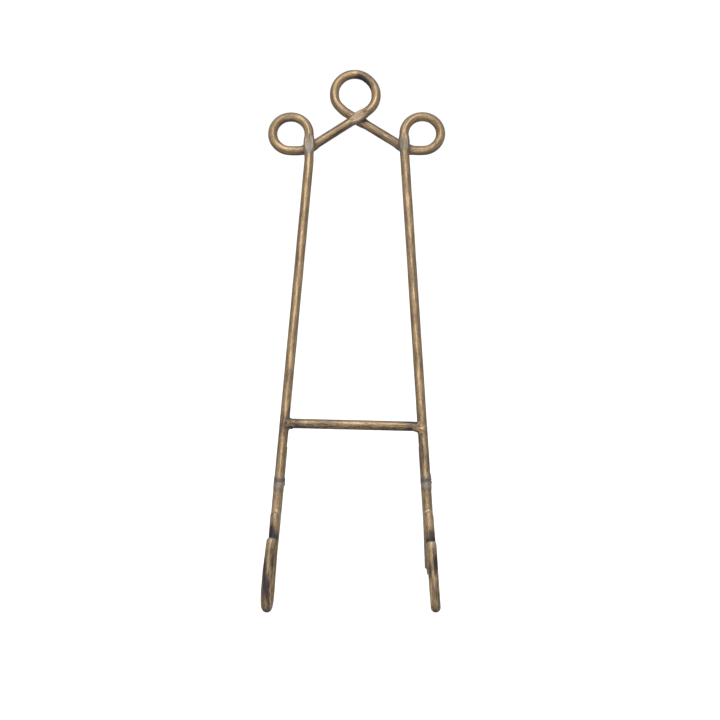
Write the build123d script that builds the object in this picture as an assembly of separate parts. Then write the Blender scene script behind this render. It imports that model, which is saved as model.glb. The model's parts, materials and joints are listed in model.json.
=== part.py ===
"""Tabletop display easel, bent and welded from round steel bar.

Axes: X to the right as seen from the front, Y towards the back, Z up.
Origin: middle of the bottom of the whole object's box, on the table.

The front frame leans back. Points on it are given as (across, up, out):
across is X, up runs along the leaning frame from the table, and out stands
square to the frame, towards the front.
"""
from build123d import *
from math import cos, radians, sin, tan
import os

# ---------------------------------------------------------------- driving dimensions (mm, degrees)
ROD = 6.35                    # round bar, 1/4 inch
R = ROD / 2
LEAN = 22.0                   # front frame, from the vertical
RAIL_SPREAD = 53.0            # rail centre to the middle, at table level
SPLAY = {"left": 4.63, "right": 3.13}             # outwards as the rails go down; the frame is a little skew
RAIL_END = 20.9               # lower ends of the rails
CROSSBAR_UP = {"left": 120.2, "right": 117.9}     # the bar was welded in slightly askew

CROSSING_GAP = 0.25           # between two strands pressed and welded together
LAP_GAP = 0.05                # between two bars lapped side by side
STEP = ROD + CROSSING_GAP     # depth from one strand to the next at a crossing
LAP = ROD + LAP_GAP           # depth from a rail to a bar lapped on it

# The loops were bent by eye. Each is given by its middle, and by how far from there its centre
# line stands off at every 45 degrees, in the order in which the rod runs.
SIDE_LOOP = {"left": (-40.8, 323.8), "right": (48.2, 324.0)}
SIDE_LOOP_STANDOFF = (12.3, 11.3, 11.4, 12.3, 12.7, 12.1, 11.3)   # from the rail, over the top, down
CROWN_LOOP = (2.7, 353.8)
CROWN_LOOP_STANDOFF = (14.3, 13.6, 14.7, 15.1, 14.3, 13.1)    # from the right, over the top, to lower left
LOOP_R_MAX = 18.0             # gentlest bend in the frame
DIAGONAL_POINT = {"left": (-12.7, 324.5), "right": (20.7, 325.4)}
DIAGONAL_SLOPE = {"left": 32.5, "right": 34.3}

PRESS_DEPTH = 1.3             # flat left by the welding press on a crossing strand
PRESS_R = 18.0                # curve of the press's jaw along the strand

HOOK_GAP = 15.65              # clear space in a hook
HOOK_BEND = 10.9              # bend radius at the centre line
SHANK_TOP = 59.2
LIP_TOP = {"left": 39.2, "right": 37.0}
SHANK_SHIFT = {"left": -1.2, "right": 0.9}        # outward twist at the foot of each shank
LIP_FOOT_SHIFT = {"left": 0.0, "right": -0.3}
LIP_BOW = {"left": 0.2, "right": -0.35}
LIP_TOP_SHIFT = {"left": -0.5, "right": -0.3}

REAR_TOP = 106.5              # upper end of the rear leg, on the back of the rail
REAR_CORNER = 56.0            # corner of its bend
REAR_BEND = 12.0
REAR_REACH = 117.0            # foot behind the line where the frame's plane meets the table
REAR_SPREAD = {"left": 55.4, "right": 54.0}       # foot to the middle
REAR_WELD = 81.2

END_ROUND = 0.9               # sheared ends, edges dulled
LIP_ROUND = 2.0               # tips of the hooks are ground round

SIDES = {"left": -1, "right": 1}


# ---------------------------------------------------------------- geometry helpers
def at(across, up, out=0.0):
    """Point on the leaning front frame."""
    lean = radians(LEAN)
    return Vector(across, up * sin(lean) - out * cos(lean), up * cos(lean) + out * sin(lean))


UP = at(0, 1)                 # directions along and square to the front frame
OUT = at(0, 0, 1)


def rail_across(side, up):
    return SIDES[side] * (RAIL_SPREAD - up * tan(radians(SPLAY[side])))


def heading(angle):
    return cos(radians(angle)), sin(radians(angle))


def tangent_line(centre, standoff, angle):
    """Line standing off from a centre in one direction, followed counter-clockwise: (point, direction)."""
    c, s = heading(angle)
    return (centre[0] + standoff * c, centre[1] + standoff * s), (-s, c)


def loop_lines(centre, standoffs, first_angle):
    return [tangent_line(centre, d, first_angle + 45 * i) for i, d in enumerate(standoffs)]


def meet(first, second):
    """Where two lines (point, direction) cross."""
    (px, py), (ux, uy) = first
    (qx, qy), (vx, vy) = second
    t = ((qx - px) * vy - (qy - py) * vx) / (ux * vy - uy * vx)
    return px + t * ux, py + t * uy


def bar(path, end_round=0.0, ends=()):
    """Round bar along a path; edges at the given ends (0 start, 1 finish) are rounded."""
    solid = sweep(Plane(origin=path @ 0, z_dir=path % 0) * Circle(R), path=path)
    for end in ends:
        rim = solid.edges().filter_by(GeomType.CIRCLE).sort_by_distance(path @ end)[0]
        solid = fillet(rim, end_round)
    return solid


def bent(points, radii, **ends):
    return bar(FilletPolyline(*points, radius=radii), **ends)


def straight(start, finish):
    return bar(Line(start, finish))


def blob(centre, axis, half_length, radius, seam=0):
    """Weld metal: an ellipsoid, round about its axis, its seam turned clear of the cuts."""
    half = Plane.XZ * (Ellipse(radius, half_length) & Pos(radius) * Rectangle(2 * radius, 2 * half_length))
    return Plane(origin=centre, z_dir=axis) * Rot(Z=seam) * revolve(half, Axis.Z)


# ---------------------------------------------------------------- front frame
RAIL_LINE = {
    side: ((rail_across(side, 0), 0), (-sign * sin(radians(SPLAY[side])), cos(radians(SPLAY[side]))))
    for side, sign in SIDES.items()
}
DIAGONAL_LINE = {
    side: (DIAGONAL_POINT[side], heading(-SIDES[side] * DIAGONAL_SLOPE[side])) for side in SIDES
}
UPRIGHT_LINE = {              # the stretch of loop that crosses in front of the diagonal
    side: tangent_line(SIDE_LOOP[side], SIDE_LOOP_STANDOFF[0], 90 + sign * 90)
    for side, sign in SIDES.items()
}
SIDE_CROSSING = {side: meet(UPRIGHT_LINE[side], DIAGONAL_LINE[side]) for side in SIDES}
CROWN_CROSSING = meet(DIAGONAL_LINE["left"], DIAGONAL_LINE["right"])


def frame_corners():
    """Corners of the frame's centre line as (across, up, out), from the left rail to the right one.

    The rails lie at out 0. Along each loop the rod steps back by one strand, so that the rails
    cross in front of the diagonals, and the left diagonal crosses in front of the right one.
    """
    lines = [RAIL_LINE["left"]]
    lines += loop_lines(SIDE_LOOP["left"], SIDE_LOOP_STANDOFF, 0)
    lines += [DIAGONAL_LINE["left"]]
    lines += loop_lines(CROWN_LOOP, CROWN_LOOP_STANDOFF, 0)
    lines += [DIAGONAL_LINE["right"]]
    lines += loop_lines(SIDE_LOOP["right"], SIDE_LOOP_STANDOFF[::-1], -90)
    lines += [RAIL_LINE["right"]]
    side_steps = (0.0, 0.05, 0.22, 0.41, 0.61, 0.81, 0.98, 1.07)
    crown_steps = (0.32, 0.6, 0.85, 1.1, 1.33, 1.52, 1.62)
    steps = side_steps + crown_steps + side_steps[::-1]
    return [(*meet(a, b), -step * STEP) for a, b, step in zip(lines, lines[1:], steps)]


def roundest_radii(points, largest):
    """The largest radius that each corner's two runs leave room for, up to a limit."""
    radii = []
    for before, corner, after in zip(points, points[1:], points[2:]):
        arriving, leaving = corner - before, after - corner
        room = 0.49 * min(arriving.length, leaving.length)
        radii.append(min(largest, room / tan(radians(arriving.get_angle(leaving)) / 2)))
    return radii


# Straight runs that cross another, each by the number of the corner that ends it
RUNS = {"left_upright": 1, "left_diagonal": 8, "right_diagonal": 15, "right_upright": 22}


def press_flat(corners, run, crossing, face):
    """Jaw of the welding press: a roller lying across a strand; face is +1 front, -1 back."""
    before, after = corners[RUNS[run] - 1], corners[RUNS[run]]
    direction = (after - before).normalized()
    flat_run = direction - OUT * direction.dot(OUT)
    point = before + direction * ((at(*crossing) - before).dot(flat_run) / flat_run.dot(flat_run))
    normal = (OUT - direction * direction.dot(OUT)).normalized() * face
    middle = point + normal * (R - PRESS_DEPTH + PRESS_R)
    return Plane(origin=middle, z_dir=direction.cross(normal)) * Cylinder(PRESS_R, 2 * ROD)


def front_frame():
    ends = [at(rail_across(side, RAIL_END), RAIL_END) for side in SIDES]
    corners = [at(*corner) for corner in frame_corners()]
    points = [ends[0], *corners, ends[1]]
    frame = bent(points, roundest_radii(points, LOOP_R_MAX), end_round=END_ROUND, ends=(0, 1))
    for side in SIDES:
        frame -= press_flat(corners, side + "_upright", SIDE_CROSSING[side], 1)
        frame -= press_flat(corners, side + "_diagonal", SIDE_CROSSING[side], -1)
    frame -= press_flat(corners, "left_diagonal", CROWN_CROSSING, 1)
    frame -= press_flat(corners, "right_diagonal", CROWN_CROSSING, -1)
    return frame


def rail(side):
    """The straight run of a rail on its own, for cutting what meets it."""
    return straight(at(rail_across(side, RAIL_END), RAIL_END), at(rail_across(side, 300), 300))


def nugget(crossing, middle, frame):
    """Fused metal between two crossed strands."""
    core = Plane(origin=at(*crossing, middle), z_dir=OUT) * Cylinder(2.3, 2.2)
    return core - frame


# ---------------------------------------------------------------- cross bar, hooks and rear legs
def crossbar_end(side):
    return at(rail_across(side, CROSSBAR_UP[side]), CROSSBAR_UP[side])


def crossbar(rails):
    return straight(crossbar_end("left"), crossbar_end("right")) - rails["left"] - rails["right"]


def crossbar_weld(side, rails, cross):
    inward = (crossbar_end("left") - crossbar_end("right")).normalized() * SIDES[side]
    half_length, radius = {"left": (3.6, 4.0), "right": (2.9, 4.4)}[side]
    bead = blob(crossbar_end(side) + inward * (R + 0.9), inward, half_length, radius)
    return bead - rails[side] - cross


def hook_foot_up():
    """Height along the frame at which the bottom of the bend just touches the table."""
    lean = radians(LEAN)
    return (HOOK_BEND + R - (LAP + HOOK_BEND) * sin(lean)) / cos(lean) - HOOK_BEND


def hook_corners(side):
    """Shank down the front of the rail, round under it at the table and up to the lip."""
    foot = hook_foot_up()
    lip_out = LAP + ROD + HOOK_GAP
    lip_middle = (foot + LIP_TOP[side]) / 2
    outward = SIDES[side]
    route = (
        (SHANK_TOP, LAP, 0.0),
        (foot, LAP, SHANK_SHIFT[side]),
        (foot, lip_out, LIP_FOOT_SHIFT[side]),
        (lip_middle, lip_out, LIP_BOW[side]),
        (LIP_TOP[side], lip_out, LIP_TOP_SHIFT[side]),
    )
    return [at(rail_across(side, up) + outward * shift, up, out) for up, out, shift in route]


def hook(side):
    points = hook_corners(side)
    solid = bent(points, [HOOK_BEND, HOOK_BEND, 40.0], end_round=END_ROUND, ends=(0,))
    tip = solid.edges().filter_by(GeomType.CIRCLE).sort_by_distance(points[-1])[0]
    return fillet(tip, LIP_ROUND)


def hook_weld(side, rails):
    """Bead over the sheared top of the shank, on the front of the rail."""
    top, foot = hook_corners(side)[:2]
    centre = at(rail_across(side, SHANK_TOP), SHANK_TOP + 0.5, R + 1.1)
    return blob(centre, UP, 2.3, 3.0, seam=90) - rails[side] - straight(top, foot)


def rail_end_weld(side, rails):
    """Bead under the end of the rail, against the back of the shank."""
    top, foot = hook_corners(side)[:2]
    centre = at(rail_across(side, RAIL_END), RAIL_END + 0.1, LAP - R - 0.6)
    return blob(centre, Vector(1, 0, 0), 2.7, 2.0) - rails[side] - straight(top, foot)


def rear_leg(side, table):
    """Lapped on the back of the rail, then bent back to the table, where its foot is flat."""
    top, corner = (at(rail_across(side, up), up, -LAP) for up in (REAR_TOP, REAR_CORNER))
    foot = Vector(SIDES[side] * REAR_SPREAD[side], REAR_REACH, table)
    beyond = foot + (foot - corner).normalized() * 2 * ROD
    leg = bent([top, corner, beyond], [REAR_BEND], end_round=END_ROUND, ends=(0,))
    return split(leg, bisect_by=Plane(origin=(0, 0, table)), keep=Keep.TOP)


def rear_leg_weld(side, rails, legs):
    """A short bead in the groove on each side of the lap."""
    along = (at(rail_across(side, REAR_TOP), REAR_TOP) - at(rail_across(side, 0), 0)).normalized()
    beads = []
    for sign in (-1, 1):
        centre = at(rail_across(side, REAR_WELD) + sign * 2.15, REAR_WELD, -LAP / 2)
        beads.append(blob(centre, along, 3.3, 1.5) - rails[side] - legs[side])
    return Compound(beads)


# ---------------------------------------------------------------- the whole object
def build():
    parts = {"front_frame": front_frame()}
    rails = {side: rail(side) for side in SIDES}
    hooks = {side: hook(side) for side in SIDES}
    table = min(piece.bounding_box().min.Z for piece in hooks.values())
    legs = {side: rear_leg(side, table) for side in SIDES}
    cross = crossbar(rails)
    parts["crossbar"] = cross
    parts["crown_weld"] = nugget(CROWN_CROSSING, -STEP, parts["front_frame"])
    for side in SIDES:
        parts["hook_" + side] = hooks[side]
        parts["rear_leg_" + side] = legs[side]
        parts["crossbar_weld_" + side] = crossbar_weld(side, rails, cross)
        parts["loop_weld_" + side] = nugget(SIDE_CROSSING[side], -STEP / 2, parts["front_frame"])
        parts["hook_weld_" + side] = hook_weld(side, rails)
        parts["rail_end_weld_" + side] = rail_end_weld(side, rails)
        parts["rear_leg_weld_" + side] = rear_leg_weld(side, rails, legs)
    box = Compound(list(parts.values())).bounding_box()
    to_origin = Pos(-box.center().X, -box.center().Y, -box.min.Z)
    return {name: to_origin * piece for name, piece in parts.items()}


if __name__ == "__main__":
    os.makedirs("parts", exist_ok=True)
    for name, piece in build().items():
        export_step(piece, f"parts/{name}.step")
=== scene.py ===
"""Looks of the display easel: each bar gets a fine skin laid over its solid, each weld a bead
that runs into its bars, and both an antique brass finish that follows the bar round its bends."""
import json
from math import cos, pi, radians, sin, tau

import bmesh
import bpy
import numpy as np
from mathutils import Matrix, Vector, noise
from mathutils.bvhtree import BVHTree

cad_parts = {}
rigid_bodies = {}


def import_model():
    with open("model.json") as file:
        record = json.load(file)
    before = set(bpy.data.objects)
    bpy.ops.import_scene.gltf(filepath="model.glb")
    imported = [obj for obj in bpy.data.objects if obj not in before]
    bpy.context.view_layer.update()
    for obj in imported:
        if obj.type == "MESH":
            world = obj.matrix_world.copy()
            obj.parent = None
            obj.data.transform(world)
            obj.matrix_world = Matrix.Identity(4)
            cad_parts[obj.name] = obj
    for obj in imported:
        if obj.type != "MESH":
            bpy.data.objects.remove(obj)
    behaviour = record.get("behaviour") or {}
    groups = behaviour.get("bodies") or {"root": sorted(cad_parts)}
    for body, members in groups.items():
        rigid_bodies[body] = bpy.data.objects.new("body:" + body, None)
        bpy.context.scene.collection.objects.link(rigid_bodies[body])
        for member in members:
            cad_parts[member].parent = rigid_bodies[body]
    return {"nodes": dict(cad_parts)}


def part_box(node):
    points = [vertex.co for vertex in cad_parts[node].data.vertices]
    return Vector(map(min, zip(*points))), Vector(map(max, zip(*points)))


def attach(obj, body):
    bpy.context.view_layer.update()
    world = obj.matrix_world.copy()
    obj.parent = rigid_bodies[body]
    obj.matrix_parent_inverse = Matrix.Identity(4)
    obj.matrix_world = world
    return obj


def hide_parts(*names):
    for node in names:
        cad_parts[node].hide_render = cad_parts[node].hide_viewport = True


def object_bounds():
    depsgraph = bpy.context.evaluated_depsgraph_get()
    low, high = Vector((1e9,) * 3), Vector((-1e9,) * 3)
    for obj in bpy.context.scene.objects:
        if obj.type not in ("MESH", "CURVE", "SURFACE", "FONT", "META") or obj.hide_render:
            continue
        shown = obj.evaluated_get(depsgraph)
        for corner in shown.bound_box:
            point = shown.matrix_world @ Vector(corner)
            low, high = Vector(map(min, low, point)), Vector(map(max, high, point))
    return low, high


for thing in list(bpy.data.objects):
    bpy.data.objects.remove(thing)
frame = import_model()
cad_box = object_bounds()
LOW, HIGH = (Vector(corner) for corner in cad_box)

MM = 0.001
BAR_R = 3.175 * MM             # quarter-inch bar
LEAN = radians(22)             # of the front frame, back from upright
UP = Vector((0, sin(LEAN), cos(LEAN)))
SIDES = {"left": -1, "right": 1}


def upwards(distance):
    """A way up the leaning frame, from a distance in mm."""
    return UP * distance * MM


def spot(x, y, z):
    """A place or a way from numbers in mm."""
    return Vector((x, y, z)) * MM


# ------------------------------------------------------------------- camera
CAMERA_AWAY = 1.2176           # in front of the object's box
CAMERA_BELOW_TOP = 0.0426
CAMERA_ACROSS = 0.00325
CAMERA_PITCH = radians(6.5)    # looking down
CAMERA_LENS = 100
CAMERA_SENSOR = 36
CAMERA_RANGE = (0.01, 100)     # nearest and furthest that it sees


def make_camera():
    data = bpy.data.cameras.new("camera")
    data.lens = CAMERA_LENS
    data.sensor_width = CAMERA_SENSOR
    data.clip_start, data.clip_end = CAMERA_RANGE
    camera = bpy.data.objects.new("camera", data)
    camera.location = (CAMERA_ACROSS, LOW.y - CAMERA_AWAY, HIGH.z - CAMERA_BELOW_TOP)
    camera.rotation_euler = (pi / 2 - CAMERA_PITCH, 0, 0)
    bpy.context.scene.collection.objects.link(camera)
    bpy.context.scene.camera = camera


make_camera()


# ------------------------------------------------------- reading the CAD bars
RAYS = 24                      # of a ring that looks outwards for the bar's surface
ROUND_WITHIN = 0.5 * MM        # a ray counts where it is as long as the bar's radius, this closely
ROUND_FACING = 0.97            # and where the surface faces along it, 1 being wholly
WALK_STEP = 0.6 * MM           # between two middles
WALK_MEMORY = 5                # middles that the heading is read from
CENTRINGS = 4                  # of the first middle
SMOOTHINGS = 6                 # of the finished line
END_ROOM = 2.8 * MM            # from the last full ring to the end, along the bar's middle


def tree_of(*nodes):
    """One search tree over the surfaces of these CAD nodes."""
    points, faces = [], []
    for node in nodes:
        mesh = frame["nodes"][node].data
        first = len(points)
        points += [v.co.copy() for v in mesh.vertices]
        faces += [[first + i for i in face.vertices] for face in mesh.polygons]
    return BVHTree.FromPolygons(points, faces)


def extreme(node, direction):
    """The node's furthest vertex in a direction."""
    return max((v.co for v in frame["nodes"][node].data.vertices), key=direction.dot).copy()


def around(heading):
    """Two directions square to a heading and to each other."""
    other = Vector((0, 1, 0)) if abs(heading.y) < 0.9 else Vector((1, 0, 0))
    side = heading.cross(other).normalized()
    return side, heading.cross(side)


def recentred(tree, point, heading):
    """The bar's middle near a point, from where a ring of rays meets its round surface."""
    side, up = around(heading)
    middles = []
    for k in range(RAYS):
        out = side * cos(tau * k / RAYS) + up * sin(tau * k / RAYS)
        hit, normal, _, distance = tree.ray_cast(point, out)
        if hit is not None and abs(distance - BAR_R) < ROUND_WITHIN and normal.dot(out) > ROUND_FACING:
            middles.append(hit - normal * BAR_R)
    return sum(middles, Vector()) / len(middles) if len(middles) > RAYS // 4 else point


def centre_line(tree, end, heading):
    """Walks through a bar from one end to the other and returns evenly smoothed middles."""
    surface, normal, _, _ = tree.find_nearest(end + heading * 2 * BAR_R)
    point = surface - normal * BAR_R
    for _ in range(CENTRINGS):
        point = recentred(tree, point, heading)
    back = tree.ray_cast(point, -heading)[3]
    point = recentred(tree, point - heading * (back - END_ROOM), heading)
    line = [point]
    while tree.ray_cast(point, heading)[3] > END_ROOM + WALK_STEP:
        point = recentred(tree, point + heading * WALK_STEP, heading)
        line.append(point)
        if len(line) > WALK_MEMORY:
            heading = (line[-1] - line[-WALK_MEMORY]).normalized()
    for _ in range(SMOOTHINGS):
        line[1:-1] = [(a + b * 2 + c) / 4 for a, b, c in zip(line, line[1:], line[2:])]
    return line


# bar: (a point at its first end, its heading there)
BARS = {
    "front_frame": (extreme("front_frame", Vector((-0.4, 0, -1))), UP),
    "crossbar": (extreme("crossbar", Vector((-1, 0, 0))), Vector((1, 0, 0))),
}
for side in SIDES:
    for node in ("hook_" + side, "rear_leg_" + side):
        BARS[node] = (extreme(node, UP), -UP)
trees = {node: tree_of(node) for node in BARS}
lines = {node: centre_line(trees[node], *start) for node, start in BARS.items()}


# ------------------------------------------------------------ skins of the bars
RING = 44                      # points round a bar
CAP = (0.955, 0.9, 0.8, 0.66, 0.5, 0.33, 0.16)   # rings of an end, as shares of the bar's radius
WALL_STEP = 0.9 * MM           # between the rings from the last full one to the end
PRESS_DEPTH = 1.3 * MM         # of a fully pressed flat
PRESS_SPREAD = 0.75 * MM       # how far a pressed strand bulges sideways
PRESS_FREE = 5 * BAR_R         # a bar isn't pressed this near its ends
FACET_DEPTH = 0.12 * MM        # the solid's mesh may lie this far inside its round surface
FLAT_UP_TO = 0.88              # a point this near the middle is on a flat, as a share of the radius
ROUND_AFTER = 0.1              # and one that is this much further out is on the round part
FORGED = 0.07 * MM             # unevenness of the drawn and hammered bar
# its noise: (steps in a metre along the bar, radius of the turn round it, share of the height)
WIDE_WAVES = (55, 1.1, 1.2)
FINE_WAVES = (260, 3.2, 0.55)
SKIN_SEED_STEP = 7.0           # so that no two bars have the same unevenness


def ring_frames(line):
    """A heading and two directions square to it for each middle, turning no more than the bar does."""
    headings = [(b - a).normalized() for a, b in zip([line[0]] + line[:-1], line[1:] + [line[-1]])]
    side = around(headings[0])[0]
    frames = []
    for heading in headings:
        side = (side - heading * side.dot(heading)).normalized()
        frames.append((heading, side, heading.cross(side)))
    return frames


def unevenness(along, angle, seed):
    """Height of the forged surface at a place on the straight bar, before it was bent."""
    lengthwise, crosswise, wide_share = WIDE_WAVES
    wide = Vector((along * lengthwise, cos(angle) * crosswise + seed, sin(angle) * crosswise))
    lengthwise, crosswise, fine_share = FINE_WAVES
    fine = Vector((along * lengthwise, cos(angle) * crosswise, sin(angle) * crosswise + seed))
    return FORGED * (noise.noise(wide) * wide_share + noise.noise(fine) * fine_share)


def end_rings(tree, first, middle, out):
    """The rings from the last full one to the hub of an end, by looking along the bar at its end."""
    cap = []
    for share in CAP:
        starts = [middle.lerp(point, share) for point in first]
        cap.append([start + out * (tree.ray_cast(start, out)[3] or END_ROOM) for start in starts])
    longest = max((point - middle).dot(out) for point in cap[0])
    steps = max(2, round(longest / WALL_STEP))
    wall = [[a.lerp(b, step / steps) for a, b in zip(first, cap[0])] for step in range(1, steps)]
    return wall + cap


def full_ring(middle, outs, depths, along, pressed, seed):
    """A ring of points on the bar's surface, bulging square to its flat where it is pressed."""
    flat_at = tau * depths.index(min(depths)) / RING
    ring = []
    for k, (out, depth) in enumerate(zip(outs, depths)):
        angle = tau * k / RING
        round_here = min(1.0, max(0.0, (depth / BAR_R - FLAT_UP_TO) / ROUND_AFTER))
        bulge = PRESS_SPREAD * pressed * sin(angle - flat_at) ** 2
        ring.append(middle + out * (depth + bulge + round_here * unevenness(along, angle, seed)))
    return ring


def skin_rings(node, seed):
    """Rings of points over a bar's surface, and for each point its place on the straight bar."""
    tree, line = trees[node], lines[node]
    frames = ring_frames(line)
    body, along = [], []
    for i, (middle, (_, side, up)) in enumerate(zip(line, frames)):
        along.append(along[-1] + (middle - line[i - 1]).length if i else 0.0)
        outs = [side * cos(tau * k / RING) + up * sin(tau * k / RING) for k in range(RING)]
        depths = [min(tree.ray_cast(middle, out)[3] or BAR_R, BAR_R) for out in outs]
        pressed = min(1.0, max(0.0, BAR_R - min(depths) - FACET_DEPTH) / PRESS_DEPTH)
        if min(i, len(line) - 1 - i) * WALK_STEP < PRESS_FREE:
            pressed = 0.0
        body.append(full_ring(middle, outs, depths, along[-1], pressed, seed))

    def placed(ring, at, i):
        """Each point's place: how far along the bar, and its two offsets from the middle."""
        heading, side, up = frames[i]
        gaps = [point - line[i] for point in ring]
        return [(at + gap.dot(heading), gap.dot(side), gap.dot(up)) for gap in gaps]

    start = end_rings(tree, body[0], line[0], -frames[0][0])[::-1]
    finish = end_rings(tree, body[-1], line[-1], frames[-1][0])
    places = [placed(ring, 0.0, 0) for ring in start]
    places += [placed(ring, along[i], i) for i, ring in enumerate(body)]
    places += [placed(ring, along[-1], -1) for ring in finish]
    return start + body + finish, places


def mesh_object(name, points, faces, bar, node):
    """A smooth mesh piece that stands for a CAD node and rides on the easel. The finish is laid out
    by "bar", each point's place on the straight bar, or on a bead its place from the middle."""
    mesh = bpy.data.meshes.new(name)
    mesh.from_pydata(points, [], faces)
    layer = mesh.attributes.new("bar", "FLOAT_VECTOR", "POINT")
    layer.data.foreach_set("vector", np.array(bar, "f").ravel())
    mesh.shade_smooth()
    piece = bpy.data.objects.new(name, mesh)
    bpy.context.scene.collection.objects.link(piece)
    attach(piece, "root")
    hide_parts(node)
    return piece


def make_skin(node, seed):
    """Quads between the rings, and a fan of triangles at each end."""
    rows, places = skin_rings(node, seed)
    points = [p for row in rows for p in row]
    bar = [p for row in places for p in row]
    faces = []
    for row in range(len(rows) - 1):
        here, there = row * RING, (row + 1) * RING
        for k in range(RING):
            after = (k + 1) % RING
            faces.append((here + k, here + after, there + after, there + k))
    for row, turn in ((0, -1), (len(rows) - 1, 1)):
        hub = len(points)
        points.append(sum(rows[row], Vector()) / RING)
        bar.append((places[row][0][0], 0, 0))
        ring = [row * RING + k for k in range(RING)][::turn]
        faces += [(hub, a, b) for a, b in zip(ring, ring[1:] + ring[:1])]
    return mesh_object(node + "_skin", points, faces, bar, node)


skins = {node: make_skin(node, SKIN_SEED_STEP * i) for i, node in enumerate(BARS)}


# -------------------------------------------------------------------- weld beads
BEAD_DETAIL = 5                # subdivisions of the ball that a bead is blown up from
BEAD_STEPS = 30                # coarse steps outwards, then halvings
BEAD_HALVINGS = 6
BEAD_SINK = 0.16 * MM          # how far a bead's edge dips under the bars' skins
BEAD_SMOOTH = (0.5, 2)         # strength and rounds of its smoothing
RIPPLE_SIZE = 0.3              # as a share of the bead's reach
RIPPLE_FINE = (2.2, 0.3)       # finer ripples: how many times finer, and their height
RAGGED_REACH = 0.16            # how much the ripples change the reach
RAGGED_FULLNESS = 0.35         # the filling of the corners
RAGGED_LUMP = 0.6              # and the height of the lump
RIPPLES_READ_AT = 0.6          # how far out the ripples are read, as a share of the reach
LEAST_BLEND = 0.01 * MM        # the filling is never less, so that nothing is divided by 0
PATH_ROOM = 5 * BAR_R          # past a bead's reach, where its bars still count

# kind: (bars it joins, shift of its middle into the metal, reach, fullness, lump, seed), in mm
BEADS = {
    "crossbar_weld": (("front_frame", "crossbar"), (0, 0, 0), 6.0, 4.2, 0.2, 3),
    "loop_weld": (("front_frame",), (0, 0, 0), 3.6, 1.0, 0.0, 5),
    "hook_weld": (("front_frame", "hook_{}"), (0, 1.2, -2.2), 5.6, 5.2, 0.3, 7),
    "rail_end_weld": (("front_frame", "hook_{}"), (0, 0, 0), 4.4, 3.6, 0.1, 9),
    "rear_leg_weld": (("front_frame", "rear_leg_{}"), (0, 0, 0), 7.6, 4.8, 0.4, 11),
}
CROWN_BEAD = (("front_frame",), (0, 0, 0), 3.8, 1.0, 0.0, 1)
# the welds that came out larger or off to one side: (shift, added reach, added fullness, added lump)
UNEVEN = {
    "crossbar_weld_left": ((0, -0.3, -0.8), 0, 0.4, 0),
    "crossbar_weld_right": ((2.2, -1.2, -0.8), -0.4, 0.8, 0.35),
    "rear_leg_weld_left": ((1.5, -1.2, 0), 0, 0, 0.2),
    "rear_leg_weld_right": ((1.5, -1.2, 1.0), 0, 0, 0.2),
}
EVEN = ((0, 0, 0), 0, 0, 0)


def near(node, centre, reach):
    """The bar's middles near a place, as an array."""
    line = np.array(lines[node])
    return line[np.linalg.norm(line - np.array(centre), axis=1) < reach]


def bar_distance(points, line):
    """How far points stand from a bar's surface, below 0 inside."""
    a, b = line[:-1], line[1:]
    run = b - a
    gap = points[:, None, :] - a[None]
    share = np.clip((gap * run).sum(-1) / (run * run).sum(-1), 0, 1)
    return np.sqrt(((gap - share[..., None] * run) ** 2).sum(-1)).min(1) - BAR_R


def filled(first, second, blend):
    """The distance to two surfaces together, with the corner between them filled over the blend."""
    mix = np.clip(blend - np.abs(first - second), 0, None) / blend
    return np.minimum(first, second) - mix * mix * blend / 4


def ripples(points, centre, size, seed):
    """Weld ripples and lumps, roughly from -1 to 1."""
    finer, height = RIPPLE_FINE
    return np.array([
        noise.noise(Vector(p - centre) / size + Vector((seed, 0, 0)))
        + height * noise.noise(Vector(p - centre) / size * finer + Vector((0, seed, 0)))
        for p in points])


def unit_ball():
    """The directions and faces of a finely divided ball."""
    ball = bmesh.new()
    bmesh.ops.create_icosphere(ball, subdivisions=BEAD_DETAIL, radius=1.0)
    directions = np.array([v.co for v in ball.verts])
    faces = [[v.index for v in face.verts] for face in ball.faces]
    ball.free()
    return directions, faces


def make_bead(node, centre, bars, reach, fullness, lump, seed):
    """Weld metal that fills the corner between its bars and fades into them at its reach."""
    centre = np.array(centre)
    paths = [near(bar, centre, reach + PATH_ROOM) for bar in bars]
    directions, faces = unit_ball()
    read_at = centre + directions * reach * RIPPLES_READ_AT
    rough = ripples(read_at, centre, reach * RIPPLE_SIZE, seed)
    limit = reach * (1 + RAGGED_REACH * rough)

    def inside(out):
        """Whether the points this far out lie in weld metal or in a bar."""
        points = centre + directions * out[:, None]
        fade = np.clip(1 - (out / limit) ** 2, 0, 1)
        blend = fullness * (1 + RAGGED_FULLNESS * rough) * fade + LEAST_BLEND
        field = bar_distance(points, paths[0])
        for path in paths[1:]:
            field = filled(field, bar_distance(points, path), blend)
        field = field - lump * fade * (1 + RAGGED_LUMP * rough) + BEAD_SINK * (1 - fade)
        return field < 0

    radius = np.zeros(len(directions))
    open_way = np.ones(len(directions), bool)
    for step in range(1, BEAD_STEPS + 1):
        open_way &= inside(limit * step / BEAD_STEPS)
        radius[open_way] = limit[open_way] * step / BEAD_STEPS
    beyond = np.minimum(radius + limit / BEAD_STEPS, limit)
    for _ in range(BEAD_HALVINGS):
        half = (radius + beyond) / 2
        metal = inside(half)
        radius, beyond = np.where(metal, half, radius), np.where(metal, beyond, half)
    points = centre + directions * radius[:, None]
    piece = mesh_object(node + "_bead", [Vector(p) for p in points], faces, points - centre, node)
    smooth = piece.modifiers.new("smooth", "SMOOTH")
    smooth.factor, smooth.iterations = BEAD_SMOOTH
    return piece


def box_middle(node):
    low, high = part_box(node)
    return (Vector(low) + Vector(high)) / 2


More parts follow.
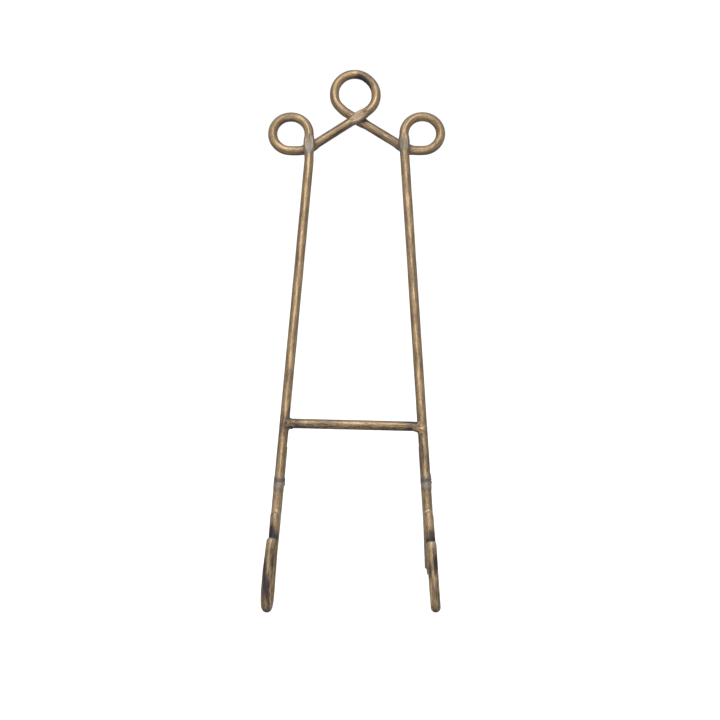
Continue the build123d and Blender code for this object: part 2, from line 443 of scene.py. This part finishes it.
def place_bead(node, side, kind, seed_more):
    """The bead for a weld's node, from its kind's row and its own unevenness."""
    bars, inwards, reach, fullness, lump, seed = kind
    shift, reach_more, fullness_more, lump_more = UNEVEN.get(node, EVEN)
    centre = box_middle(node) + (Vector(inwards) + Vector(shift)) * MM
    return make_bead(node, centre, [bar.format(side) for bar in bars], (reach + reach_more) * MM,
                     (fullness + fullness_more) * MM, (lump + lump_more) * MM, seed + seed_more)


beads = {}
for side, sign in SIDES.items():
    for name, kind in BEADS.items():
        node = f"{name}_{side}"
        beads[node] = place_bead(node, side, kind, sign)
beads["crown_weld"] = place_bead("crown_weld", "", CROWN_BEAD, 0)


# ------------------------------------------------------------ wear, soot, grey, painted shade and painted highlights
RECESS = 2.4 * MM              # patina and painted shade darken the finish where another bar is this near
RECESS_START = 0.25 * MM       # clear of the surface that the look outwards starts from
# how dark a recess gets: patina in the hollow, and painted shade where the bars shade each other
RECESS_PATINA_AND_SHADE = 0.8
# painted shade on surfaces that face down
UNDERSIDE_PAINTED_SHADE = 0.3
UNDERSIDE_FROM = 0.1           # how far down a surface faces before it gets painted shade
WEAR_RANGE = (-0.6, 1)
PITS_FROM = 45 * MM            # the finish gets pitted from this far above the crossbar downwards
PITS_OVER = 60 * MM
PITS_LEAST = 0.1
PITS_LEVEL = 0.75              # on an upright surface, less where it faces up, more where down
PITS_TURN = 1.3
PITS_FACING = (0.25, 1)        # least and most

LOOP_DROP = 14                 # from the crown loop's top to its middle, in mm
# (degrees clockwise from its top, distance from its middle, strength, size in mm) of the patch
# burnt round the inside of the crown loop, and of the painted highlight streak beside it
LOOP_PATINA_AND_HIGHLIGHT = (((22, 44, 66), 12.4, 0.8, 3.0), ((4, 22, 40), 15.6, -0.35, 1.6))
LOOP_FRONT = spot(0, -2.4, 0)  # from a bar's middle towards its front
FLAT_FRONT = spot(0, -6, 0)    # from a pressed crossing's middle to the flat
# (across the lip, height, size, strength) of its burnt patches and scratches, in mm
LIP_MARKS = {
    "left": ((-0.2, 19.5, (2.1, 6, 6), 0.8), (-2.0, 30, (1.3, 6, 7), 0.5), (2.6, 32, (0.8, 6, 9), 0.5),
             (-1.5, 9, (0.7, 5, 5), 0.2), (1.4, 8, (0.6, 5, 4), 0.2), (2.8, 14, (0.9, 6, 8), -0.4),
             (0, 7, (3, 5, 4), -0.2)),
    "right": ((2.0, 31.5, (1.8, 6, 6), 0.95), (-1.8, 28, (0.9, 6, 5), 0.45), (-0.3, 16, (1.2, 6, 5), 0.2),
              (-2.8, 12, (0.9, 6, 8), -0.3), (0, 8, (3, 5, 4), -0.15)),
}
SHANK_SHOWS = 4                # this far above the lip's top, in mm
# how dark the shank is just above the lip: dark patina, and painted shadow of the lip in the gap
SHANK_PATINA_AND_SHADOW = {"left": 0.8, "right": 0.55}
# how much a painted highlight brightens the brass, and how much it pales it towards grey
HIGHLIGHT_BRIGHTENING = -0.6
HIGHLIGHT_PALING = 0.3
# (weld, offset from its middle, size) of the painted highlights on weld metal and corners, in mm
PAINTED_HIGHLIGHT_SPOTS = {
    "left": (("rear_leg_weld", (3.2, -3.2, -1.2), 2.0), ("hook_weld", (2.0, -2, 1), 1.3),
             ("hook_weld", (-0.6, -3, -3), 1.5)),
    "right": (("rear_leg_weld", (3.2, -3.2, 1.0), 2.0), ("hook_weld", (1.6, -2, 0.6), 1.4),
              ("hook_weld", (-0.4, -3, -3.4), 1.2)),
}
GREYED_FLAT = {"left": 1.0, "right": 0.45}

all_bars = tree_of(*BARS)
loop_top = max(lines["front_frame"], key=UP.dot)
crown_loop = loop_top - upwards(LOOP_DROP)
crossing = box_middle("crown_weld")
welds = {side: {kind: box_middle(f"{kind}_{side}") for kind in BEADS} for side in SIDES}


def hook_places(side):
    """The middles of a hook's lip from the table up, its top, and where the shank shows above it."""
    line = lines["hook_" + side]
    lowest = min(range(len(line)), key=lambda i: line[i].z)
    tip = line[-1] + UP * END_ROOM
    above_tip = tip + upwards(SHANK_SHOWS)
    look = (above_tip - bpy.context.scene.camera.location).normalized()
    return line[lowest:], tip, trees["hook_" + side].ray_cast(above_tip, look)[0]


hooks = {side: hook_places(side) for side in SIDES}


def bright_spots(side, strength):
    """(strength, place, size) of a side's painted highlights."""
    return [(strength, welds[side][kind] + spot(*offset), size) for kind, offset, size in PAINTED_HIGHLIGHT_SPOTS[side]]


def lip_marks(side):
    """(strength, place, size) of the marks on a hook's lip."""
    lip = hooks[side][0]
    marks = []
    for across, height, size, strength in LIP_MARKS[side]:
        middle = min(lip, key=lambda place: abs(place.z - height * MM))
        marks.append((strength, middle + spot(across, -3, 1), size))
    return marks


def sooty_patches():
    """(strength, place, size in mm) of each dark patch: burnt patina by the welds, dark patina with painted
    shadow on the hook shanks above their lips, and a darker bottom to each lip. A strength below 0
    brightens: painted highlights on the welds, hook tips and crown loop, and rubbed places on the lips.
    """
    patches = []
    # burnt patina inside the crown loop, and the painted highlight streak beside it
    for turns, distance, strength, size in LOOP_PATINA_AND_HIGHLIGHT:
        for turn in turns:
            way = Vector((sin(radians(turn)), 0, 0)) + UP * cos(radians(turn))
            patches.append((strength, crown_loop + way * (distance * MM) + LOOP_FRONT, size))
    patches += [
        (0.15, welds["left"]["loop_weld"] + FLAT_FRONT, (3.2, 4, 6)),
        (0.25, welds["right"]["loop_weld"] + FLAT_FRONT, (3.2, 4, 6)),
        (0.16, welds["right"]["rear_leg_weld"] + upwards(18), (12, 12, 16)),
    ]
    for side in SIDES:
        weld, (lip, tip, above_tip) = welds[side], hooks[side]
        patches += [
            (0.4, weld["loop_weld"], 5),
            (0.16, (weld["loop_weld"] + crossing) / 2, 13),
            (0.3, weld["crossbar_weld"], 7),
            (0.9, weld["rear_leg_weld"] + upwards(2.6), (9, 9, 1.5)),
            (0.3, weld["rear_leg_weld"] - upwards(3.2), (9, 9, 1.2)),
            # painted highlight on the top of the shank below its weld
            (-0.35, weld["hook_weld"] - upwards(5), (5, 5, 3)),
            # dark patina and painted shadow of the lip on the shank just above it, darkest right by the
            # lip's top
            (SHANK_PATINA_AND_SHADOW[side], above_tip, (2.3, 4, 5)),
            (0.6, above_tip - upwards(3.2), (5, 4, 1.6)),
            # painted highlight on the lip's rounded top
            (-0.3, tip, (5, 3, 1.8)),
        ]
        # painted highlights on the weld beads
        patches += bright_spots(side, HIGHLIGHT_BRIGHTENING)
        patches += lip_marks(side)
        # darker at the very bottom of the lip
        patches.append((0.55, lip[0] + spot(0, 0, -3), (8, 12, 1.6)))
    return patches


def grey_patches():
    """(strength, place, size in mm) of bare, heat-greyed metal on the flats and round welds, and of the grey
    that paints highlights pale on the hook welds, hook tips and weld spots.
    """
    patches = [(0.25, crossing + FLAT_FRONT, 6)]
    for side in SIDES:
        weld, tip = welds[side], hooks[side][1]
        patches += [
            (GREYED_FLAT[side], weld["loop_weld"] + FLAT_FRONT, (3.2, 4, 7)),
            # heat-greyed weld metal, paled further as a painted highlight on the bead over the shank's top
            (0.35, weld["hook_weld"], (6, 6, 2.4)),
            (0.8, weld["rear_leg_weld"] - upwards(0.6), (9, 9, 2.2)),
            # pale grey of the painted highlight on the lip's rounded top
            (0.8, tip + spot(0, 0, -1), (5, 4, 2.2)),
        ]
        # painted highlights paled towards grey
        patches += bright_spots(side, HIGHLIGHT_PALING)
    return patches


SOOT_SHADE_AND_HIGHLIGHT_PATCHES = sooty_patches()
GREY_AND_HIGHLIGHT_PATCHES = grey_patches()


def fall(points, place, size):
    """1 at a place, fading to 0 about two sizes away. size is in mm, one number or one for each axis."""
    gap = (points - np.array(place)) / (np.array(size) * MM)
    return np.exp(-(gap * gap).sum(-1))


def recesses(piece):
    """How closely a bar faces each point, from 0 to 1."""
    found = []
    for vertex in piece.data.vertices:
        start = vertex.co + vertex.normal * RECESS_START
        hit = all_bars.ray_cast(start, vertex.normal, RECESS)[3]
        found.append(0.0 if hit is None else 1 - hit / RECESS)
    return np.array(found)


def soot_at(points, normals):
    """Dark patina and painted shadow in the patches, painted shade on surfaces that face down, and painted
    highlights and rubbed places where a patch's strength is below 0.
    """
    soot_shade_and_highlight = UNDERSIDE_PAINTED_SHADE * np.clip(-normals[:, 2] - UNDERSIDE_FROM, 0, 1)
    for strength, place, size in SOOT_SHADE_AND_HIGHLIGHT_PATCHES:
        soot_shade_and_highlight += strength * fall(points, place, size)
    return soot_shade_and_highlight


def grey_at(points):
    grey_and_highlight = np.zeros(len(points))
    for strength, place, size in GREY_AND_HIGHLIGHT_PATCHES:
        grey_and_highlight += strength * fall(points, place, size)
    return grey_and_highlight


def pits_at(points, normals):
    """How pitted the finish is: smooth at the top, rough below, and rougher where it faces down."""
    depth = welds["left"]["crossbar_weld"].z + PITS_FROM - points[:, 2]
    facing = np.clip(PITS_LEVEL - normals[:, 2] * PITS_TURN, *PITS_FACING)
    return PITS_LEAST + (1 - PITS_LEAST) * np.clip(depth / PITS_OVER, 0, 1) * facing


def paint_wear(piece, soot_and_highlight_more=0.0, grey_more=0.0):
    """Writes on each point: soot and painted shade, where below 0 are rubbed places and painted highlights,
    grey and the pale grey of painted highlights, and pits.
    """
    mesh = piece.data
    count = len(mesh.vertices)
    points, normals = np.empty(count * 3), np.empty(count * 3)
    mesh.vertices.foreach_get("co", points)
    mesh.vertices.foreach_get("normal", normals)
    points, normals = points.reshape(-1, 3), normals.reshape(-1, 3)
    values = {
        "soot_shade_and_highlight": soot_at(points, normals) + RECESS_PATINA_AND_SHADE * recesses(piece) + soot_and_highlight_more,
        "grey_and_highlight": grey_at(points) + grey_more,
        "pits": pits_at(points, normals),
    }
    for name, value in values.items():
        layer = mesh.attributes.new(name, "FLOAT", "POINT")
        layer.data.foreach_set("value", np.clip(value, *WEAR_RANGE).astype("f"))


# ---------------------------------------------------------------------- finish
BLACK = (0.020, 0.018, 0.019)
UMBER = (0.078, 0.054, 0.036)
BROWN = (0.200, 0.138, 0.084)
GOLD = (0.370, 0.255, 0.138)
PALE = (0.540, 0.405, 0.245)
GREY = (0.270, 0.255, 0.225)

# noise over the straight bar: (features in a metre along it and twice across, detail, roughness)
CLOUD = ((60, 320, 320), 2.0, 0.55)
STREAKS = ((80, 1250, 1250), 3.0, 0.55)
DENTS = ((420, 1300, 1300), 4.0, 0.65)
SPECK = ((1500, 2200, 2200), 2.0, 0.55)
GOUGES = ((230, 900, 900), 4.0, 0.7)
# how much each changes the finish, out of 1 from the darkest to the palest
STREAKS_SHARE = 0.55
CLOUD_SHARE = 0.42
DENTS_SHARE = 0.42
SPECK_SHARE = 0.2
PITTED_SHARE = -0.34

# (how much the brass shows over the dark steel, what it gives there)
COLOURS = ((0.08, BLACK), (0.27, UMBER), (0.42, BROWN), (0.58, GOLD), (0.8, PALE))
METALNESS = ((0.1, 0.3), (0.5, 0.75))
ROUGHNESS = ((0.1, 0.62), (0.45, 0.55), (0.75, 0.49))
GREY_ROUGHER = 0.12            # heat-greyed metal
# (the gouges' noise, how deeply a pitted finish is gouged there)
GOUGED = ((0.5, 0.0), (0.62, 1.0))
BUMP_STRENGTH = 0.5
BUMP_DEPTH = 0.25 * MM
STREAKS_HEIGHT = 0.4
DENTS_HEIGHT = 0.45            # where there are no pits
PITS_DENTED = 0.45             # and this much more where the finish is fully pitted
SPECK_HEIGHT = 0.25
PITTED_HEIGHT = -0.5
# (share of a pattern, least) of how much soot, painted shade and highlights, and grey come through it
SOOT_SHADE_AND_HIGHLIGHT_THROUGH = (0.56, 0.34)
GREY_AND_HIGHLIGHT_THROUGH = (0.9, 0.3)

# pieces that are darker than the rest, or rubbed brighter; the hook welds are given a painted highlight
SOOTY = {"hook_left": 0.04, "hook_right": -0.04, "crossbar": 0.06}
# the hook welds' values paint a highlight; the right crossbar weld is rubbed brighter
RUBBED_AND_HIGHLIGHTED = {"hook_weld_left": -0.3, "hook_weld_right": -0.3, "crossbar_weld_right": -0.2}
RUBBED_BEAD = -0.05
GREYED_BEAD = 0.2
BEAD_STREAK = 0.3              # weld metal has hardly any streaks, and shallower dents
BEAD_LUMPY = -0.1


def nodes_of(name):
    material = bpy.data.materials.new(name)
    material.use_nodes = True
    return material, material.node_tree


def attribute(tree, name, output):
    node = tree.nodes.new("ShaderNodeAttribute")
    node.attribute_name = name
    return node.outputs[output]


def stretched_noise(tree, place, stretch, detail, roughness):
    scale = tree.nodes.new("ShaderNodeVectorMath")
    scale.operation = "MULTIPLY"
    tree.links.new(place, scale.inputs[0])
    scale.inputs[1].default_value = stretch
    texture = tree.nodes.new("ShaderNodeTexNoise")
    texture.inputs["Scale"].default_value = 1.0
    texture.inputs["Detail"].default_value = detail
    texture.inputs["Roughness"].default_value = roughness
    tree.links.new(scale.outputs[0], texture.inputs["Vector"])
    return texture.outputs["Fac"]


def maths(tree, operation, first, second, third=None):
    node = tree.nodes.new("ShaderNodeMath")
    node.operation = operation
    for socket, value in zip(node.inputs, (first, second, third)):
        if isinstance(value, (int, float)):
            socket.default_value = value
        elif value is not None:
            tree.links.new(value, socket)
    return node.outputs[0]


def varied(tree, value, pattern, share):
    """A value moved up and down by a pattern, which is 0.5 on average."""
    return maths(tree, "ADD", value, maths(tree, "MULTIPLY_ADD", pattern, share, -share / 2))


def ramp(tree, value, stops):
    """Colours, or greys, along a value."""
    node = tree.nodes.new("ShaderNodeValToRGB")
    elements = node.color_ramp.elements
    while len(elements) < len(stops):
        elements.new(0.5)
    for element, (place, colour) in zip(elements, stops):
        element.position = place
        element.color = (*colour, 1) if isinstance(colour, tuple) else (colour, colour, colour, 1)
    tree.links.new(value, node.inputs["Fac"])
    return node.outputs["Color"]


def mixed(tree, share, first, second):
    node = tree.nodes.new("ShaderNodeMix")
    node.data_type = "RGBA"
    tree.links.new(share, node.inputs["Factor"])
    for socket, value in ((node.inputs["A"], first), (node.inputs["B"], second)):
        if isinstance(value, tuple):
            socket.default_value = (*value, 1)
        else:
            tree.links.new(value, socket)
    return node.outputs["Result"]


def antique_brass(name, streak=1.0, lumpy=0.0):
    """Brass wash over dark steel, rubbed through in streaks along the bar. streak is how strong the
    streaks are, and lumpy is added to the height of the dents."""
    material, tree = nodes_of(name)
    shader = tree.nodes["Principled BSDF"]
    place = attribute(tree, "bar", "Vector")
    soot_shade_and_highlight = attribute(tree, "soot_shade_and_highlight", "Fac")
    grey_and_highlight = attribute(tree, "grey_and_highlight", "Fac")
    pits = attribute(tree, "pits", "Fac")
    cloud = stretched_noise(tree, place, *CLOUD)
    streaks = stretched_noise(tree, place, *STREAKS)
    dents = stretched_noise(tree, place, *DENTS)
    speck = stretched_noise(tree, place, *SPECK)
    gouges = stretched_noise(tree, place, *GOUGES)

    streaks_share = STREAKS_SHARE * streak
    brass = maths(tree, "MULTIPLY_ADD", streaks, streaks_share, 0.5 - streaks_share / 2)
    brass = varied(tree, brass, cloud, CLOUD_SHARE)
    brass = varied(tree, brass, dents, DENTS_SHARE)
    brass = varied(tree, brass, speck, SPECK_SHARE)
    # soot and painted shade darken the brass, and painted highlights, below 0, brighten it
    soot_shade_and_highlight_shown = maths(tree, "MULTIPLY", soot_shade_and_highlight, maths(tree, "MULTIPLY_ADD", dents, *SOOT_SHADE_AND_HIGHLIGHT_THROUGH))
    brass = maths(tree, "SUBTRACT", brass, soot_shade_and_highlight_shown)
    pitted = maths(tree, "MULTIPLY", ramp(tree, gouges, GOUGED), pits)
    brass = maths(tree, "MULTIPLY_ADD", pitted, PITTED_SHARE, brass)
    greyed_and_highlighted = maths(tree, "MULTIPLY", grey_and_highlight, maths(tree, "MULTIPLY_ADD", speck, *GREY_AND_HIGHLIGHT_THROUGH))
    colour = mixed(tree, greyed_and_highlighted, ramp(tree, brass, COLOURS), GREY)
    tree.links.new(colour, shader.inputs["Base Color"])
    tree.links.new(ramp(tree, brass, METALNESS), shader.inputs["Metallic"])
    rough = maths(tree, "MULTIPLY_ADD", greyed_and_highlighted, GREY_ROUGHER, ramp(tree, brass, ROUGHNESS))
    tree.links.new(rough, shader.inputs["Roughness"])

    dent_height = maths(tree, "MULTIPLY_ADD", pits, PITS_DENTED, DENTS_HEIGHT + lumpy)
    height = maths(tree, "MULTIPLY", dents, dent_height)
    height = maths(tree, "MULTIPLY_ADD", streaks, STREAKS_HEIGHT, height)
    height = maths(tree, "MULTIPLY_ADD", speck, SPECK_HEIGHT, height)
    height = maths(tree, "MULTIPLY_ADD", pitted, PITTED_HEIGHT, height)
    bump = tree.nodes.new("ShaderNodeBump")
    bump.inputs["Strength"].default_value = BUMP_STRENGTH
    bump.inputs["Distance"].default_value = BUMP_DEPTH
    tree.links.new(height, bump.inputs["Height"])
    tree.links.new(bump.outputs["Normal"], shader.inputs["Normal"])
    return material


bar_finish = antique_brass("antique_brass")
bead_finish = antique_brass("weld_metal", BEAD_STREAK, BEAD_LUMPY)
for node, skin in skins.items():
    skin.data.materials.append(bar_finish)
    paint_wear(skin, SOOTY.get(node, 0.0))
for node, bead in beads.items():
    bead.data.materials.append(bead_finish)
    greyed_more = 0.0 if node.startswith("crossbar_weld") else GREYED_BEAD
    paint_wear(bead, RUBBED_AND_HIGHLIGHTED.get(node, RUBBED_BEAD), greyed_more)


# ----------------------------------------------------------- floor and lights
FLOOR_SIZE = 60
FLOOR_WHITE = 0.3
FLOOR_ROUGHNESS = 0.9
FLOOR_GLOW = 0.95              # a lit sweep, so that it meets the white background
FLOOR_BOUNCE = 0.38            # how bright the sweep is for the object above it
SKY = (0.95, 0.98, 1.0, 1)     # a little cool
SKY_SEEN = 1.06                # strong enough behind the object to be white
SKY_LIGHT = 0.52               # softer, on the object
# name: (place from the object's middle, size, power)
LIGHTS = {
    "key": (Vector((-0.1, -1.15, 1.6)), 0.9, 33),
    "front": (Vector((-0.2, -2.2, 0.5)), 1.4, 11),
}


def seen_or_not(tree, seen, unseen):
    """One strength for what the camera sees and one for the light that the object gets."""
    path = tree.nodes.new("ShaderNodeLightPath")
    return maths(tree, "MULTIPLY_ADD", path.outputs["Is Camera Ray"], seen - unseen, unseen)


def make_floor():
    bpy.ops.mesh.primitive_plane_add(size=FLOOR_SIZE, location=(0, 0, LOW.z))
    floor = bpy.context.object
    floor.name = "floor"
    material, tree = nodes_of("pale_floor")
    shader = tree.nodes["Principled BSDF"]
    shader.inputs["Base Color"].default_value = (FLOOR_WHITE, FLOOR_WHITE, FLOOR_WHITE, 1)
    shader.inputs["Roughness"].default_value = FLOOR_ROUGHNESS
    shader.inputs["Emission Color"].default_value = (1, 1, 1, 1)
    tree.links.new(seen_or_not(tree, FLOOR_GLOW, FLOOR_BOUNCE), shader.inputs["Emission Strength"])
    floor.data.materials.append(material)


def make_light(name, away, size, power):
    """A square soft light that aims at the object's middle."""
    data = bpy.data.lights.new(name, "AREA")
    data.size, data.energy = size, power
    light = bpy.data.objects.new(name, data)
    light.location = (LOW + HIGH) / 2 + away
    light.rotation_euler = (-away).to_track_quat("-Z", "Y").to_euler()
    bpy.context.scene.collection.objects.link(light)


def make_world():
    """White behind the object, and softer light from all round."""
    world = bpy.data.worlds.new("studio")
    bpy.context.scene.world = world
    world.use_nodes = True
    tree = world.node_tree
    shader = tree.nodes["Background"]
    shader.inputs["Color"].default_value = SKY
    tree.links.new(seen_or_not(tree, SKY_SEEN, SKY_LIGHT), shader.inputs["Strength"])


make_floor()
for name, light in LIGHTS.items():
    make_light(name, *light)
make_world()
bpy.context.scene.view_settings.view_transform = "Standard"
